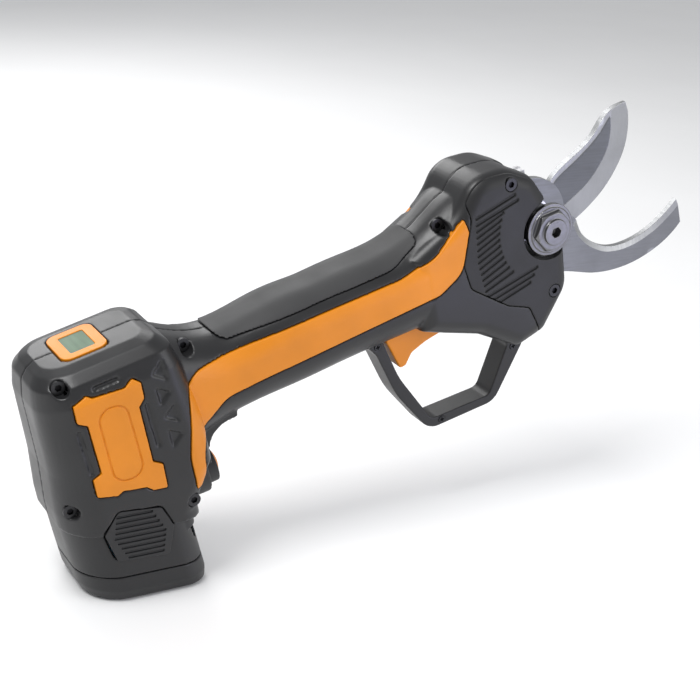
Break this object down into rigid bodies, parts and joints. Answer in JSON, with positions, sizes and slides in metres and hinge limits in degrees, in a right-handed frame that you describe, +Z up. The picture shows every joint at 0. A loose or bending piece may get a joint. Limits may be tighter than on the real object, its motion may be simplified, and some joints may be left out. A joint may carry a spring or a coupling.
{
  "type": "battery electric pruner",
  "caption": "Battery electric pruner: upright battery block, round handle with trigger guard, and a head carrying a curved hook and a pivoting cutting blade.",
  "frame": {"origin": "the middle of the flat foot of the battery, which stands on the floor", "axes": "+Z up, square to the foot; +X from the battery towards the blades; +Y to the left of a user who points the blades forward; the handle rises 16 degrees towards +X"},
  "size_m": [0.2721, 0.0472, 0.1587],
  "materials": {
    "housing": "satin black glass-filled nylon, fine grain",
    "cover": "matt black, grooved",
    "panel": "warm orange, satin gloss",
    "badge": "warm orange plate with a plain groove",
    "grip": "dark grey soft-touch, fine grain",
    "display": "green-grey liquid crystal window",
    "clip": "spring steel",
    "guard": "matt black",
    "screws": "blackened steel",
    "trigger": "warm orange",
    "steel": "ground steel",
    "blade": "ground steel, lighter bevel",
    "nut": "turned dark steel",
    "bronze": "bronze",
    "alloy": "cast and machined",
    "motor": "plated can",
    "lamination": "laminated iron",
    "copper": "enamelled copper",
    "board": "green circuit board",
    "chip": "black moulded parts",
    "battery": "matt black case",
    "latch": "matt black, ridged",
    "cell": "sleeved cells",
    "nickel": "plated contacts",
    "magnet": "plated magnet"
  },
  "bodies": {
    "housing": {"badge_plate_left": "badge", "badge_plate_right": "badge", "belt_clip": "clip", "board_parts": "chip", "contact_block": "chip", "controller_board": "board", "cover_screws": "screws", "display_bezel": "panel", "display_board": "board", "display_window": "display", "gear_frame": "alloy", "grip_insert": "grip", "guard_screws": "screws", "head_cover_left": "cover", "head_cover_right": "cover", "hook_blade": "blade", "hook_screws": "screws", "housing_left": "housing", "housing_right": "housing", "housing_screws": "screws", "motor_adapter": "alloy", "motor_bearings": "steel", "motor_can": "motor", "motor_stator": "lamination", "motor_windings": "copper", "pinion_bearings": "steel", "pivot_bolt": "nut", "pivot_nut": "nut", "pivot_washer": "steel", "power_collar": "guard", "power_switch": "chip", "ring_gear": "steel", "sensor_board": "board", "side_panel_left": "panel", "side_panel_right": "panel", "trigger_guard": "guard", "trigger_pin": "steel", "trigger_spring": "steel"},
    "blade": {"cutting_blade": "blade", "blade_gear": "steel", "sector_screws": "screws", "blade_bush": "bronze"},
    "output": {"bevel_pinion": "steel", "output_shaft": "steel"},
    "planet_1": {"planet_gear_1": "steel"},
    "planet_2": {"planet_gear_2": "steel"},
    "planet_3": {"planet_gear_3": "steel"},
    "rotor": {"motor_rotor": "lamination", "sun_gear": "steel"},
    "trigger": {"trigger": "trigger", "trigger_magnet": "magnet"},
    "power_button": {"power_button": "panel"},
    "battery": {"battery_case": "battery", "battery_base": "battery", "battery_cells": "cell", "cell_holder": "battery", "battery_board": "board", "battery_terminals": "nickel"},
    "latch_right": {"latch_button_right": "latch"},
    "latch_left": {"latch_button_left": "latch"}
  },
  "joints": [
    {"name": "blade_pivot", "type": "hinge", "parent": "housing", "child": "blade", "pos_m": [0.15794, 0, 0.11676], "axis": [0, 1, 0], "range_deg": [0, 52]},
    {"name": "output_spin", "type": "hinge", "parent": "housing", "child": "output", "pos_m": [0.11998, 0, 0.10413], "axis": [0.9489, 0, 0.3156], "range_deg": [0, 208]},
    {"name": "planet_1_spin", "type": "hinge", "parent": "output", "child": "planet_1", "pos_m": [0.10091, 0, 0.10443], "axis": [0.9489, 0, 0.3156], "range_deg": [-555, 0]},
    {"name": "planet_2_spin", "type": "hinge", "parent": "output", "child": "planet_2", "pos_m": [0.1039, -0.00546, 0.09546], "axis": [0.9489, 0, 0.3156], "range_deg": [-555, 0]},
    {"name": "planet_3_spin", "type": "hinge", "parent": "output", "child": "planet_3", "pos_m": [0.1039, 0.00546, 0.09546], "axis": [0.9489, 0, 0.3156], "range_deg": [-555, 0]},
    {"name": "rotor_spin", "type": "hinge", "parent": "housing", "child": "rotor", "pos_m": [0.07254, 0, 0.08835], "axis": [0.9489, 0, 0.3156], "range_deg": [0, 1040]},
    {"name": "trigger_pull", "type": "hinge", "parent": "housing", "child": "trigger", "pos_m": [0.12161, 0, 0.08564], "axis": [0, 1, 0], "range_deg": [0, 8], "stiffness_Nm_per_rad": 0.6, "springref_deg": -8.59},
    {"name": "power_press", "type": "slide", "parent": "housing", "child": "power_button", "axis": [-0.9613, 0, -0.2756], "range_m": [0, 0.0012], "stiffness_N_per_m": 600, "springref_m": -0.0005},
    {"name": "battery_slide", "type": "slide", "parent": "housing", "child": "battery", "axis": [0.2756, 0, -0.9613], "range_m": [0, 0.09]},
    {"name": "latch_right_press", "type": "slide", "parent": "battery", "child": "latch_right", "axis": [0, 1, 0], "range_m": [0, 0.001], "stiffness_N_per_m": 900, "springref_m": -0.0005},
    {"name": "latch_left_press", "type": "slide", "parent": "battery", "child": "latch_left", "axis": [0, -1, 0], "range_m": [0, 0.001], "stiffness_N_per_m": 900, "springref_m": -0.0005}
  ],
  "couplings": [
    {"joint": "output_spin", "follows": "blade_pivot", "ratio": 4},
    {"joint": "rotor_spin", "follows": "blade_pivot", "ratio": 20},
    {"joint": "planet_1_spin", "follows": "blade_pivot", "ratio": -10.667},
    {"joint": "planet_2_spin", "follows": "blade_pivot", "ratio": -10.667},
    {"joint": "planet_3_spin", "follows": "blade_pivot", "ratio": -10.667}
  ]
}
